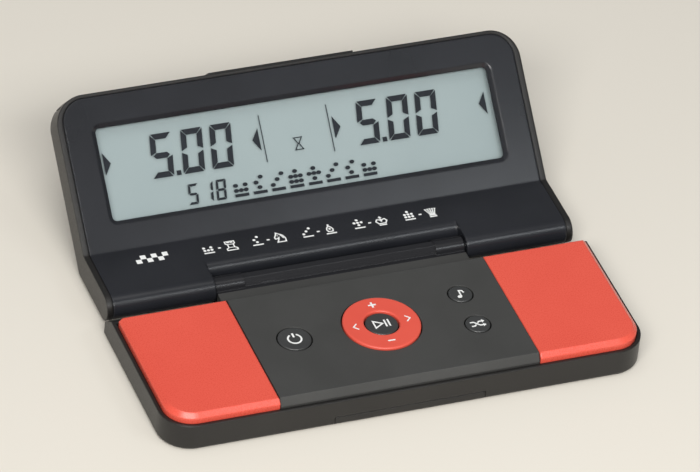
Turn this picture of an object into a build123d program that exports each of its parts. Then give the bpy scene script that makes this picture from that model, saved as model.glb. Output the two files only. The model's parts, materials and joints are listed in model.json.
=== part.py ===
from build123d import *
from math import sin, cos, radians
import os

# Folding pocket game clock. X runs along the hinge, the keys face -Y, +Z is up.
# The origin is the middle of the bottom of the opened clock's bounding box. Millimetres.
os.makedirs("parts", exist_ok=True)

# ---- overall sizes of the base
case_width = 131.4
base_front_reach = 42.6        # key back edge to the front wall
base_back_reach = 6.6          # key back edge to the back wall
foot_height = 0.3
rim_height = 8.1               # top of the base wall above the table
deck_height = 10.7             # top of the deck and of the player keys
case_corner_radius = 8.5
deck_half_width = 35.3

# ---- lid sizes
lid_width = 129.0
lid_slope = 42.0               # screen above the horizontal, degrees
screen_length = 41.6           # crease to the lid's top edge
lid_thickness = 9.2
crease_reach = 27.3            # key back edge to the crease
lid_corner_radius = 8.0
grip_width = 40.4
grip_height = 1.0
window_bottom = 7.75
window_top = 32.3
window_half_width = 54.5

# ---- hinge
hinge_reach = 11.3             # key back edge to the hinge line
barrel_radius = 3.74
hinge_height = 5.16
pin_radius = 1.2
pin_turn_gap = 0.03
wire_bore_radius = 0.75
wire_radius = 0.6
knuckle_radius = 2.75
knuckle_half_span = 34.4
cover_half_span = 26.5
notch_half_span = 34.8
nose_radius = 3.2
nose_reach = 18.0              # key back edge to the middle of the notch's rounded edge

# ---- walls and fits
wall = 1.0
floor_wall = 1.2
part_gap = 0.2                 # keys and plates that lie beside each other
snug_gap = 0.05                # parts that are fastened together
layer_thickness = 2.2          # the lid's front bezel
seam_inset = 1.7               # the rear shell's rim round the bezel
seam_gap = 0.12
rear_wall = 1.5
deck_thickness = 1.8
board_thickness = 1.0
cell_radius = 10.0
cell_height = 3.2

# ---- controls
ring_reach = 19.5              # key back edge to the ring's middle
ring_radius = 10.2
ring_bore_radius = 4.6
play_radius = 4.3
power_place = -23.8
power_radius = 4.4
small_key_place = 24.1
small_key_offset = 6.2
sound_radius = 3.15
shuffle_radius = 3.25
key_proud = 0.15
key_gap = 0.32                 # between a round key and the deck
key_travel = 0.6
player_travel = 1.0

# ---- derived places
lid_half = lid_width / 2
case_half = case_width / 2
slope = radians(lid_slope)
up_y = cos(slope)
up_z = sin(slope)
out_y = -sin(slope)
out_z = cos(slope)
case_bottom = foot_height
floor_top = case_bottom + floor_wall
panel_height = hinge_height + barrel_radius
lid_bottom = hinge_height - barrel_radius
rear_edge_radius = 2.6
lid_back_reach = (crease_reach + screen_length * up_y - lid_thickness * out_y
                  - rear_edge_radius * (up_y - out_y) + rear_edge_radius)
key_back = -(lid_back_reach - base_front_reach) / 2
hinge_y = key_back + hinge_reach
front_y = key_back - base_front_reach
back_y = key_back + base_back_reach
crease_y = key_back + crease_reach
nose_y = key_back + nose_reach
nose_z = panel_height - nose_radius
deck_front = front_y + wall + part_gap
closing_gap = 0.4              # keeps the closed lid's panel clear of the keys' back edge
deck_back = key_back - closing_gap
deck_under = deck_height - deck_thickness
ring_y = key_back - ring_reach
far = 100.0

board_bottom = floor_top + cell_height + 0.6
board_top = board_bottom + board_thickness
mat_top = board_top + snug_gap + 0.6


def on_lid(distance, depth):
    # a point of the lid's section: distance up from the crease, depth behind the bezel's face
    return (crease_y + distance * up_y - depth * out_y, panel_height + distance * up_z - depth * out_z)


# the screen plane: local x along the hinge, local y up the screen, local z out of the bezel
screen_plane = Plane(origin=(0, crease_y, panel_height), x_dir=(1, 0, 0), z_dir=(0, out_y, out_z))
side_plane = Plane(origin=(0, 0, 0), x_dir=(0, 1, 0), z_dir=(1, 0, 0))


# ======== base: bottom shell ========
shell_slope_top = key_back + 1.6
shell_slope_foot = 4.0
pocket_back = key_back + 0.6
bay_half = 20.6
bay_back = front_y + 25.0
door_lip_height = 2.6
door_gap = 0.15
foot_radius = 3.5
foot_recess = 0.7
foot_places = [(x, y) for x in (-50.0, 50.0) for y in (front_y + 8.0, key_back - 4.0)]
screw_radius = 0.9
screw_head_radius = 1.8
screw_head_height = 0.7
screw_places = [(x, y) for x in (-31.0, 31.0) for y in (front_y + 6.5, key_back - 4.5)]
post_radius = 1.5
post_places = [(x, y) for x in (-44.0, 44.0) for y in (front_y + 9.0, key_back - 8.0)]

with BuildPart() as base_bottom_shell:
    with BuildSketch(Plane.XY.offset(case_bottom)):
        with Locations((0, (front_y + back_y) / 2)):
            Rectangle(case_width, back_y - front_y)
    extrude(amount=rim_height - case_bottom)
    fillet(base_bottom_shell.edges().filter_by(Axis.Z).group_by(Axis.Y)[0], radius=case_corner_radius)
    fillet(base_bottom_shell.edges().filter_by(Axis.Z).group_by(Axis.Y)[-1], radius=0.8)
    fillet(base_bottom_shell.faces().sort_by(Axis.Z)[0].edges(), radius=0.9)
    with BuildSketch(side_plane):
        with BuildLine():
            Polyline((shell_slope_top, rim_height + 1),
                     (shell_slope_top, rim_height),
                     (back_y, shell_slope_foot),
                     (back_y + 5, shell_slope_foot),
                     (back_y + 5, rim_height + 1), close=True)
        make_face()
    extrude(amount=far, both=True, mode=Mode.SUBTRACT)
    # the inside, with the wall's corners following the outside
    with BuildSketch(Plane.XY.offset(floor_top)) as shell_pocket:
        with Locations((0, (front_y + wall + pocket_back) / 2)):
            Rectangle(case_width - 2 * wall, pocket_back - front_y - wall)
        fillet(shell_pocket.vertices().group_by(Axis.Y)[0], radius=case_corner_radius - wall)
    extrude(amount=far, mode=Mode.SUBTRACT)
    # the slot for the hinge bridge
    with BuildSketch(Plane.XY.offset(floor_top)):
        with Locations((0, (key_back - 2 + back_y + 3) / 2)):
            Rectangle(2 * (knuckle_half_span + part_gap), back_y + 5 - key_back)
    extrude(amount=far, mode=Mode.SUBTRACT)
    # the battery bay's opening, floor and front lip
    with BuildSketch(Plane.XY.offset(case_bottom - 1)):
        with Locations((0, (front_y - 1 + bay_back) / 2)):
            Rectangle(2 * bay_half, bay_back - front_y + 1)
    extrude(amount=floor_wall + 1, mode=Mode.SUBTRACT)
    with BuildSketch(Plane.XY.offset(case_bottom - 1)):
        with Locations((0, front_y)):
            Rectangle(2 * bay_half, 2 * wall + 1)
    extrude(amount=door_lip_height + 1, mode=Mode.SUBTRACT)
    # posts for the circuit board
    with BuildSketch(Plane.XY.offset(floor_top)):
        with Locations(*post_places):
            Circle(post_radius)
    extrude(amount=board_bottom - snug_gap - floor_top)
    # pockets for the rubber feet
    with BuildSketch(Plane.XY.offset(case_bottom)):
        with Locations(*foot_places):
            Circle(foot_radius + snug_gap)
    extrude(amount=foot_recess, mode=Mode.SUBTRACT)
    # screw holes with a recess for the heads
    with BuildSketch(Plane.XY.offset(case_bottom)):
        with Locations(*screw_places):
            Circle(screw_head_radius + snug_gap)
    extrude(amount=screw_head_height, mode=Mode.SUBTRACT)
    with BuildSketch(Plane.XY):
        with Locations(*screw_places):
            Circle(screw_radius + snug_gap)
    extrude(amount=floor_top + 1, mode=Mode.SUBTRACT)
base_bottom_shell.part.label = "base_bottom_shell"
export_step(base_bottom_shell.part, "parts/base_bottom_shell.step")

foot_names = ["front_left_foot", "back_left_foot", "front_right_foot", "back_right_foot"]
for place, label in zip(foot_places, foot_names):
    with BuildPart() as rubber_foot:
        with BuildSketch():
            with Locations(place):
                Circle(foot_radius)
        extrude(amount=foot_height + foot_recess - snug_gap)
        fillet(rubber_foot.faces().sort_by(Axis.Z)[0].edges(), radius=0.2)
    rubber_foot.part.label = label
    export_step(rubber_foot.part, "parts/" + label + ".step")

# ======== base: battery door ========
door_half = bay_half - door_gap
door_back = bay_back - door_gap
with BuildPart() as battery_door:
    with BuildSketch(Plane.XY.offset(case_bottom)):
        with Locations((0, (front_y + door_back) / 2)):
            Rectangle(2 * door_half, door_back - front_y)
    extrude(amount=floor_wall - snug_gap)
    with BuildSketch(Plane.XY.offset(case_bottom)):
        with Locations((0, front_y + wall / 2)):
            Rectangle(2 * door_half, wall)
    extrude(amount=door_lip_height - door_gap)
    fillet(battery_door.faces().sort_by(Axis.Y)[0].edges().group_by(Axis.Z)[0], radius=0.8)
battery_door.part.label = "battery_door"
export_step(battery_door.part, "parts/battery_door.step")

# ======== base: the two coin cells and their contacts ========
cell_bottom = floor_top + snug_gap
cell_y = front_y + wall + 0.6 + cell_radius
contact_thickness = 0.3
for side, name in ((-1, "left"), (1, "right")):
    cell_x = side * (cell_radius + 0.15)
    with BuildPart() as coin_cell:
        with BuildSketch(Plane.XY.offset(cell_bottom)):
            with Locations((cell_x, cell_y)):
                Circle(cell_radius)
        extrude(amount=cell_height)
        fillet(coin_cell.edges().filter_by(GeomType.CIRCLE), radius=0.35)
    coin_cell.part.label = name + "_coin_cell"
    export_step(coin_cell.part, "parts/" + name + "_coin_cell" + ".step")
    with BuildPart() as side_contact:
        with BuildSketch(Plane.XY.offset(cell_bottom)):
            with Locations((cell_x, cell_y + cell_radius + 0.1 + contact_thickness / 2)):
                Rectangle(5.0, contact_thickness)
        extrude(amount=board_bottom - snug_gap - cell_bottom)
    side_contact.part.label = name + "_edge_contact"
    export_step(side_contact.part, "parts/" + name + "_edge_contact" + ".step")
    with BuildPart() as top_contact:
        with BuildSketch(Plane.XY.offset(cell_bottom + cell_height + 0.02)):
            with Locations((cell_x, cell_y)):
                Rectangle(3.0, 9.0)
        extrude(amount=board_bottom - cell_bottom - cell_height - 0.04)
    top_contact.part.label = name + "_top_contact"
    export_step(top_contact.part, "parts/" + name + "_top_contact" + ".step")

# ======== base: circuit board and what it carries ========
board_half = 54.0
board_front = front_y + 5.0
board_back = key_back - 1.5
deck_boss_radius = 2.2
with BuildPart() as main_board:
    with BuildSketch(Plane.XY.offset(board_bottom)):
        with Locations((0, (board_front + board_back) / 2)):
            Rectangle(2 * board_half, board_back - board_front)
        with Locations(*screw_places):
            Circle(deck_boss_radius + part_gap, mode=Mode.SUBTRACT)
    extrude(amount=board_thickness)
main_board.part.label = "main_circuit_board"
export_step(main_board.part, "parts/main_circuit_board.step")

on_board = board_top + snug_gap
switch_x = 48.5
switch_y = key_back - 20.0
player_top_plate = 1.5
player_under = deck_height - player_top_plate
switch_top = player_under - 0.25 - player_travel - 0.05
for side, name in ((-1, "left"), (1, "right")):
    with BuildPart() as key_switch:
        with BuildSketch(Plane.XY.offset(on_board)):
            with Locations((side * switch_x, switch_y)):
                Rectangle(6.0, 6.0)
        extrude(amount=1.2)
        with BuildSketch(Plane.XY.offset(on_board + 1.2)):
            with Locations((side * switch_x, switch_y)):
                Circle(1.7)
        extrude(amount=switch_top - on_board - 1.2)
    key_switch.part.label = name + "_key_switch"
    export_step(key_switch.part, "parts/" + name + "_key_switch" + ".step")

with BuildPart() as buzzer:
    with BuildSketch(Plane.XY.offset(on_board)):
        with Locations((-46.0, key_back - 8.5)):
            Circle(5.0)
    extrude(amount=1.6)
    with BuildSketch(Plane.XY.offset(on_board + 1.6)):
        with Locations((-46.0, key_back - 8.5)):
            Circle(0.9)
    extrude(amount=-0.8, mode=Mode.SUBTRACT)
buzzer.part.label = "buzzer"
export_step(buzzer.part, "parts/buzzer.step")

with BuildPart() as controller_chip:
    with BuildSketch(Plane.XY.offset(board_bottom - snug_gap - 1.1)):
        with Locations((-33.0, key_back - 22.0)):
            Rectangle(9.0, 9.0)
    extrude(amount=1.1)
    chamfer(controller_chip.faces().sort_by(Axis.Z)[0].edges(), length=0.2)
controller_chip.part.label = "controller_chip"
export_step(controller_chip.part, "parts/controller_chip.step")

with BuildPart() as crystal:
    with BuildSketch(Plane.XY.offset(board_bottom - snug_gap - 1.4)):
        with Locations((31.0, key_back - 22.0)):
            SlotOverall(8.0, 3.0)
    extrude(amount=1.4)
crystal.part.label = "timing_crystal"
export_step(crystal.part, "parts/timing_crystal.step")

# ======== base: deck plate ========
bevel_depth = 1.2
bevel_height = 2.1
skirt_bottom = rim_height - 0.9
small_keys = [
    ("power_key", power_place, ring_y, power_radius),
    ("sound_key", small_key_place, ring_y + small_key_offset, sound_radius),
    ("shuffle_key", small_key_place, ring_y - small_key_offset, shuffle_radius),
]
with BuildPart() as deck_plate:
    with BuildSketch(side_plane):
        with BuildLine():
            Polyline((deck_front + bevel_depth, deck_height),
                     (deck_back, deck_height),
                     (deck_back, deck_under),
                     (deck_front + 1.6 + bevel_depth, deck_under),
                     (deck_front + 1.6, skirt_bottom),
                     (deck_front, skirt_bottom),
                     (deck_front, deck_height - bevel_height), close=True)
        make_face()
    extrude(amount=deck_half_width, both=True)
    chamfer(deck_plate.faces().sort_by(Axis.Z)[-1].edges().filter_by(Axis.X).sort_by(Axis.Y)[-1], length=0.25)
    # screw bosses
    with BuildSketch(Plane.XY.offset(floor_top + snug_gap)):
        with Locations(*screw_places):
            Circle(deck_boss_radius)
            Circle(screw_radius, mode=Mode.SUBTRACT)
    extrude(amount=deck_under - floor_top)
    # openings for the ring and the round keys
    with BuildSketch(Plane.XY.offset(deck_under - 0.5)):
        with Locations((0, ring_y)):
            Circle(ring_radius + 0.3)
        for label, x, y, radius in small_keys:
            with Locations((x, y)):
                Circle(radius + key_gap)
    extrude(amount=deck_thickness + 1, mode=Mode.SUBTRACT)
deck_plate.part.label = "deck_plate"
export_step(deck_plate.part, "parts/deck_plate.step")

screw_names = ["front_left_screw", "back_left_screw", "front_right_screw", "back_right_screw"]
screw_tip = deck_under - 1.5
for place, label in zip(screw_places, screw_names):
    with BuildPart() as base_screw:
        with BuildSketch(Plane.XY.offset(case_bottom + 0.1)):
            with Locations(place):
                Circle(screw_head_radius)
        extrude(amount=screw_head_height - 0.1 - snug_gap)
        with BuildSketch(Plane.XY.offset(case_bottom + 0.3)):
            with Locations(place):
                Circle(screw_radius)
        extrude(amount=screw_tip - case_bottom)
        with BuildSketch(Plane.XY.offset(case_bottom + 0.1)):
            with Locations(place):
                Rectangle(2.2, 0.4)
                Rectangle(0.4, 2.2)
        extrude(amount=0.35, mode=Mode.SUBTRACT)
    base_screw.part.label = label
    export_step(base_screw.part, "parts/" + label + ".step")

# ======== base: hinge bridge with its knuckles and cover ========
wire_x = -20.0
bridge_front = key_back - 0.2
bridge_top = deck_height - 0.9
valley_height = case_bottom + 5.4
valley_front = bridge_front + 0.4 + (bridge_top - valley_height) * up_y / up_z
bridge_bottom = floor_top + snug_gap
bridge_back = hinge_y + 1.4
cover_flat = 2.2
bridge_cavity_half = 24.0
with BuildPart() as hinge_bridge:
    with BuildSketch(side_plane) as bridge_body:
        with BuildLine():
            Polyline((bridge_front, bridge_bottom),
                     (bridge_front, bridge_top),
                     (bridge_front + 0.4, bridge_top),
                     (valley_front, valley_height),
                     (hinge_y - 1.0, valley_height),
                     (hinge_y, hinge_height),
                     (bridge_back, hinge_height),
                     (bridge_back, bridge_bottom), close=True)
        make_face()
        fillet(bridge_body.vertices().sort_by_distance((0, valley_front, valley_height))[0], radius=1.0)
    extrude(amount=knuckle_half_span, both=True)
    with BuildSketch(side_plane):
        with Locations((hinge_y, hinge_height)):
            Circle(knuckle_radius)
    extrude(amount=knuckle_half_span, both=True)
    # the cover between the knuckles has flat faces, a little lower than the knuckles
    with BuildSketch(side_plane) as cover_faces:
        with Locations((hinge_y, hinge_height)):
            Circle(knuckle_radius + 0.5)
        with BuildLine():
            Polyline((hinge_y - 1.1, hinge_height - 4),
                     (hinge_y - 2.35, hinge_height + 0.4),
                     (hinge_y - 0.95, hinge_height + 2.42),
                     (hinge_y + 0.9, hinge_height + 2.42),
                     (hinge_y + 2.4, hinge_height + 0.9),
                     (hinge_y + 2.4, hinge_height - 4), close=True)
        make_face(mode=Mode.SUBTRACT)
    extrude(amount=cover_half_span, both=True, mode=Mode.SUBTRACT)
    with BuildSketch(side_plane):
        with BuildLine():
            Polyline((valley_front - 0.6, valley_height),
                     (hinge_y - 2.3, valley_height),
                     (hinge_y - 2.3, valley_height - 2),
                     (valley_front - 0.6, valley_height - 2), close=True)
        make_face()
    extrude(amount=cover_half_span, both=True)
    # hollow underneath, with a way in for the wires
    with BuildSketch(Plane.XY.offset(bridge_bottom)):
        with Locations((0, (bridge_front + 1.4 + hinge_y + 0.2) / 2)):
            Rectangle(2 * bridge_cavity_half, hinge_y + 0.2 - bridge_front - 1.4)
    extrude(amount=valley_height - 1.2 - bridge_bottom, mode=Mode.SUBTRACT)
    with BuildSketch(Plane.XZ.offset(-(bridge_front + 0.7))):
        with Locations((wire_x, bridge_bottom + 1.9)):
            Rectangle(4.0, 2.2)
    extrude(amount=2.0, both=True, mode=Mode.SUBTRACT)
    with BuildSketch(Plane.XY.offset(valley_height - 1.3)):
        with Locations((wire_x, hinge_y - 0.6)):
            Rectangle(3.4, 2.6)
    extrude(amount=hinge_height + 0.9 - valley_height + 1.3, mode=Mode.SUBTRACT)
    # bores for the hinge pins, and the wires' way to the left one
    with BuildSketch(Plane.YZ.offset(-knuckle_half_span - 1)):
        with Locations((hinge_y, hinge_height)):
            Circle(pin_radius + pin_turn_gap)
    extrude(amount=knuckle_half_span + 1 - cover_half_span, mode=Mode.SUBTRACT)
    with BuildSketch(Plane.YZ.offset(cover_half_span)):
        with Locations((hinge_y, hinge_height)):
            Circle(pin_radius + pin_turn_gap)
    extrude(amount=knuckle_half_span + 1 - cover_half_span, mode=Mode.SUBTRACT)
    with BuildSketch(Plane.YZ.offset(-cover_half_span - 1)):
        with Locations((hinge_y, hinge_height)):
            Circle(wire_bore_radius)
    extrude(amount=cover_half_span + 1 - 19.0, mode=Mode.SUBTRACT)
hinge_bridge.part.label = "hinge_bridge"
export_step(hinge_bridge.part, "parts/hinge_bridge.step")

# ======== hinge pins ========
pin_inner = cover_half_span + 0.4
pin_outer = 44.0
with BuildPart() as left_hinge_pin:
    with BuildSketch(Plane.YZ.offset(-pin_outer)):
        with Locations((hinge_y, hinge_height)):
            Circle(pin_radius)
            Circle(wire_bore_radius, mode=Mode.SUBTRACT)
    extrude(amount=pin_outer - pin_inner)
left_hinge_pin.part.label = "left_hinge_pin"
export_step(left_hinge_pin.part, "parts/left_hinge_pin.step")
with BuildPart() as right_hinge_pin:
    with BuildSketch(Plane.YZ.offset(pin_inner)):
        with Locations((hinge_y, hinge_height)):
            Circle(pin_radius)
    extrude(amount=pin_outer - pin_inner)
right_hinge_pin.part.label = "right_hinge_pin"
export_step(right_hinge_pin.part, "parts/right_hinge_pin.step")

# ======== the wires that pass along the hinge line ========
wire_level = bridge_bottom + 1.9
plug_length = 4.0
plug_y = bridge_front - 1.5 - plug_length / 2
with BuildPart() as hinge_wires:
    with BuildLine() as wire_path:
        FilletPolyline((wire_x, plug_y + plug_length / 2, wire_level),
                       (wire_x, hinge_y - 1.6, wire_level),
                       (wire_x, hinge_y, hinge_height),
                       (-pin_outer - 1.0, hinge_y, hinge_height), radius=0.75)
    with BuildSketch(Plane(origin=(wire_x, plug_y + plug_length / 2, wire_level), z_dir=(0, 1, 0))):
        Circle(wire_radius)
    sweep()
hinge_wires.part.label = "hinge_wires"
export_step(hinge_wires.part, "parts/hinge_wires.step")

with BuildPart() as wire_plug:
    with BuildSketch(Plane.XY.offset(board_bottom - snug_gap - 2.6)):
        with Locations((wire_x, plug_y)):
            Rectangle(6.0, plug_length)
    extrude(amount=2.6)
wire_plug.part.label = "wire_plug"
export_step(wire_plug.part, "parts/wire_plug.step")

# ======== controls: player keys ========
key_outer = case_half - wall - part_gap
key_inner = deck_half_width + part_gap
key_skirt_bottom = board_top + player_travel + 0.3
key_bevel = 1.2
key_wall = 1.3
for side, name in ((-1, "left"), (1, "right")):
    with BuildPart() as player_key:
        with BuildSketch(Plane.XY.offset(key_skirt_bottom)):
            with Locations((side * (key_inner + key_outer) / 2, (deck_front + deck_back) / 2)):
                Rectangle(key_outer - key_inner, deck_back - deck_front)
        extrude(amount=deck_height - key_skirt_bottom)
        outer_corner = (side * key_outer, deck_front, rim_height)
        fillet(player_key.edges().filter_by(Axis.Z).sort_by_distance(outer_corner)[0],
               radius=case_corner_radius - wall - part_gap)
        top_edges = player_key.faces().sort_by(Axis.Z)[-1].edges()
        inner_edge = top_edges.sort_by_distance((side * key_inner, (deck_front + deck_back) / 2, deck_height))[0]
        back_edge = top_edges.sort_by_distance((side * switch_x, deck_back, deck_height))[0]
        outside = [edge for edge in top_edges if edge != inner_edge and edge != back_edge]
        chamfer(outside, length=key_bevel)
        inner_top = player_key.edges().sort_by_distance((side * key_inner, (deck_front + deck_back) / 2, deck_height))[0]
        chamfer(inner_top, length=0.3)
        back_top = player_key.edges().sort_by_distance((side * switch_x, deck_back, deck_height))[0]
        chamfer(back_top, length=0.3)
        # hollow underneath, keeping a post over the switch
        with BuildSketch(Plane.XY.offset(key_skirt_bottom)) as key_hollow:
            with Locations((side * (key_inner + key_outer) / 2, (deck_front + deck_back) / 2)):
                Rectangle(key_outer - key_inner - 2 * key_wall, deck_back - deck_front - 2 * key_wall)
            fillet(key_hollow.vertices().sort_by_distance(outer_corner)[0], radius=5.5)
        extrude(amount=player_under - key_skirt_bottom, mode=Mode.SUBTRACT)
        with BuildSketch(Plane.XY.offset(player_under)):
            with Locations((side * switch_x, switch_y)):
                Circle(2.0)
        extrude(amount=-0.25)
    player_key.part.label = name + "_player_key"
    export_step(player_key.part, "parts/" + name + "_player_key" + ".step")

# ======== controls: round keys on the deck ========
flange_extra = 0.6
flange_top = deck_under - snug_gap
flange_bottom = flange_top - 0.7
for label, x, y, radius in small_keys:
    with BuildPart() as round_key:
        with BuildSketch(Plane.XY.offset(flange_bottom)):
            with Locations((x, y)):
                Circle(radius + flange_extra)
        extrude(amount=flange_top - flange_bottom)
        with BuildSketch(Plane.XY.offset(flange_bottom)):
            with Locations((x, y)):
                Circle(radius)
        extrude(amount=deck_height + key_proud - flange_bottom)
        fillet(round_key.faces().sort_by(Axis.Z)[-1].edges(), radius=0.35)
    round_key.part.label = label
    export_step(round_key.part, "parts/" + label + ".step")

# ======== controls: the four-way ring on its pivot, and the key in the middle ========
pivot_height = 8.0
ring_proud = 0.5
stub_radius = 0.5
stub_gap = 0.04
pivot_inner = play_radius + 0.9
pivot_outer = ring_radius - 2.8
pivot_thickness = 1.3
lug_place = ring_radius - 1.6
lug_thickness = 1.4
lug_below = stub_radius + 0.12   # clear of the holder's flat ring at the tilt limits
post_top = pivot_height + 0.85
tilt_limit = 3.0                # degrees either way, about each axis
tilt_drop = (lug_place + lug_thickness / 2) * sin(radians(tilt_limit)) / cos(radians(tilt_limit))
ring_bottom = post_top + tilt_drop + 0.15
with BuildPart() as adjust_ring:
    with BuildSketch(Plane.XY.offset(ring_bottom)):
        with Locations((0, ring_y)):
            Circle(ring_radius)
            Circle(ring_bore_radius, mode=Mode.SUBTRACT)
    extrude(amount=deck_height + ring_proud - ring_bottom)
    fillet(adjust_ring.faces().sort_by(Axis.Z)[-1].edges(), radius=0.5)
    with BuildSketch(Plane.XY.offset(pivot_height - lug_below)):
        with Locations((0, ring_y - lug_place), (0, ring_y + lug_place)):
            Rectangle(2.2, lug_thickness)
    extrude(amount=ring_bottom - pivot_height + lug_below)
    with BuildSketch(Plane.XZ.offset(-(ring_y + lug_place))):
        with Locations((0, pivot_height)):
            Circle(stub_radius)
    extrude(amount=lug_place - pivot_inner - 0.6)
    with BuildSketch(Plane.XZ.offset(-(ring_y - lug_place))):
        with Locations((0, pivot_height)):
            Circle(stub_radius)
    extrude(amount=-(lug_place - pivot_inner - 0.6))
adjust_ring.part.label = "adjust_ring"
export_step(adjust_ring.part, "parts/adjust_ring.step")

with BuildPart() as ring_pivot:
    with BuildSketch(Plane.XY.offset(pivot_height - pivot_thickness / 2)):
        with Locations((0, ring_y)):
            Circle(pivot_outer)
            Circle(pivot_inner, mode=Mode.SUBTRACT)
    extrude(amount=pivot_thickness)
    with BuildSketch(Plane.XZ.offset(-ring_y)):
        with Locations((0, pivot_height)):
            Circle(stub_radius + stub_gap)
    extrude(amount=pivot_outer + 1, both=True, mode=Mode.SUBTRACT)
    with BuildSketch(Plane.YZ):
        with Locations((ring_y, pivot_height)):
            Circle(stub_radius)
    extrude(amount=lug_place + lug_thickness / 2, both=True)
    with BuildSketch(Plane.XY.offset(pivot_height - pivot_thickness)):
        with Locations((0, ring_y)):
            Circle(pivot_inner)
    extrude(amount=2 * pivot_thickness, mode=Mode.SUBTRACT)
ring_pivot.part.label = "ring_pivot"
export_step(ring_pivot.part, "parts/ring_pivot.step")

holder_inner = pivot_outer + 0.4
holder_outer = ring_radius - 0.5
with BuildPart() as ring_holder:
    with BuildSketch(Plane.XY.offset(on_board)):
        with Locations((0, ring_y)):
            Circle(holder_outer)
            Circle(holder_inner, mode=Mode.SUBTRACT)
    extrude(amount=0.4)
    with BuildSketch(Plane.XY.offset(on_board)):
        with Locations((-lug_place, ring_y), (lug_place, ring_y)):
            Rectangle(lug_thickness, 2.2)
    extrude(amount=post_top - on_board)
    with BuildSketch(Plane.YZ):
        with Locations((ring_y, pivot_height)):
            Circle(stub_radius + stub_gap)
    extrude(amount=far, both=True, mode=Mode.SUBTRACT)
ring_holder.part.label = "ring_holder"
export_step(ring_holder.part, "parts/ring_holder.step")

play_flange_top = pivot_height + pivot_thickness / 2 - 0.2
play_bottom = play_flange_top - 0.6
with BuildPart() as play_key:
    with BuildSketch(Plane.XY.offset(play_bottom)):
        with Locations((0, ring_y)):
            Circle(pivot_inner - 0.35)
    extrude(amount=play_flange_top - play_bottom)
    with BuildSketch(Plane.XY.offset(play_bottom)):
        with Locations((0, ring_y)):
            Circle(play_radius)
    extrude(amount=deck_height + key_proud - play_bottom)
    fillet(play_key.faces().sort_by(Axis.Z)[-1].edges(), radius=0.35)
play_key.part.label = "play_pause_key"
export_step(play_key.part, "parts/play_pause_key.step")

# ======== base: rubber mat with domes, and the middle key's own dome ========
dome_clearance = 0.1
dome_top = flange_bottom - key_travel - dome_clearance
with BuildPart() as keypad_mat:
    with BuildSketch(Plane.XY.offset(on_board)):
        with Locations((0, ring_y)):
            Rectangle(2 * deck_half_width - 4.0, 26.0)
            Circle(holder_outer + 0.3, mode=Mode.SUBTRACT)
        with Locations(*screw_places):
            Circle(deck_boss_radius + part_gap, mode=Mode.SUBTRACT)
    extrude(amount=mat_top - on_board)
    for label, x, y, radius in small_keys:
        with BuildSketch(Plane.XY.offset(mat_top)):
            with Locations((x, y)):
                Circle(radius - 0.9)
        extrude(amount=dome_top - mat_top, taper=12)
keypad_mat.part.label = "keypad_mat"
export_step(keypad_mat.part, "parts/keypad_mat.step")

with BuildPart() as play_key_dome:
    with BuildSketch(Plane.XY.offset(on_board)):
        with Locations((0, ring_y)):
            Circle(4.4)
    extrude(amount=0.35)
    with BuildSketch(Plane.XY.offset(on_board + 0.35)):
        with Locations((0, ring_y)):
            Circle(2.6)
    extrude(amount=play_bottom - key_travel - dome_clearance - on_board - 0.35, taper=12)
play_key_dome.part.label = "play_key_dome"
export_step(play_key_dome.part, "parts/play_key_dome.step")

# ======== lid: places shared by the bezel and the rear shell ========
rear_inner = lid_thickness - rear_wall
nose_back = nose_y + 1.4
lid_screw_places = [(x, s) for x in (4.0 - lid_half, lid_half - 4.0) for s in (4.0, 35.0)]
lid_screw_head = 1.6
lid_boss_radius = 1.5
lid_screw_radius = 0.7
recess_depth = 0.9
lid_wire_radius = 0.45
lid_wire_x = -49.5
lid_foot_radius = 3.0
lid_foot_places = [(x, crease_y) for x in (-50.0, 50.0)]
with BuildPart() as wire_channel:
    with BuildSketch(Plane.XY.offset(hinge_height - 0.9)):
        with Locations((lid_wire_x, (hinge_y + nose_back + 4.0) / 2)):
            Rectangle(3.0, nose_back + 4.0 - hinge_y)
    extrude(amount=1.8)

# ======== lid: front bezel with the shoulder and the barrels ========
bezel_half = lid_half - seam_inset
bezel_top = screen_length - 1.0
bezel_corner = lid_corner_radius - seam_inset
inner_crease = -layer_thickness * (1 - out_z) / up_z
barrel_back = hinge_y + barrel_radius + 0.1
window_chamfer = 1.2
window_lip = 1.2
window_margin = 2.0


def lid_layer_points(gap):
    # the section of the bezel's layer, grown by the seam's gap at its top and its back
    return [(hinge_y - 0.001, panel_height),
            (crease_y, panel_height),
            on_lid(bezel_top + gap, 0),
            on_lid(bezel_top + gap, layer_thickness + gap),
            on_lid(inner_crease * (1 + gap / layer_thickness), layer_thickness + gap),
            (hinge_y - 0.001, panel_height - layer_thickness - gap)]


def screen_corners(piece):
    # the highest edges that run square to the screen: the piece's two top corners
    square = piece.edges().filter_by(lambda edge: abs(edge.tangent_at(0.5).dot(screen_plane.z_dir)) > 0.999)
    return square.group_by(Axis.Z)[-1]


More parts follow.
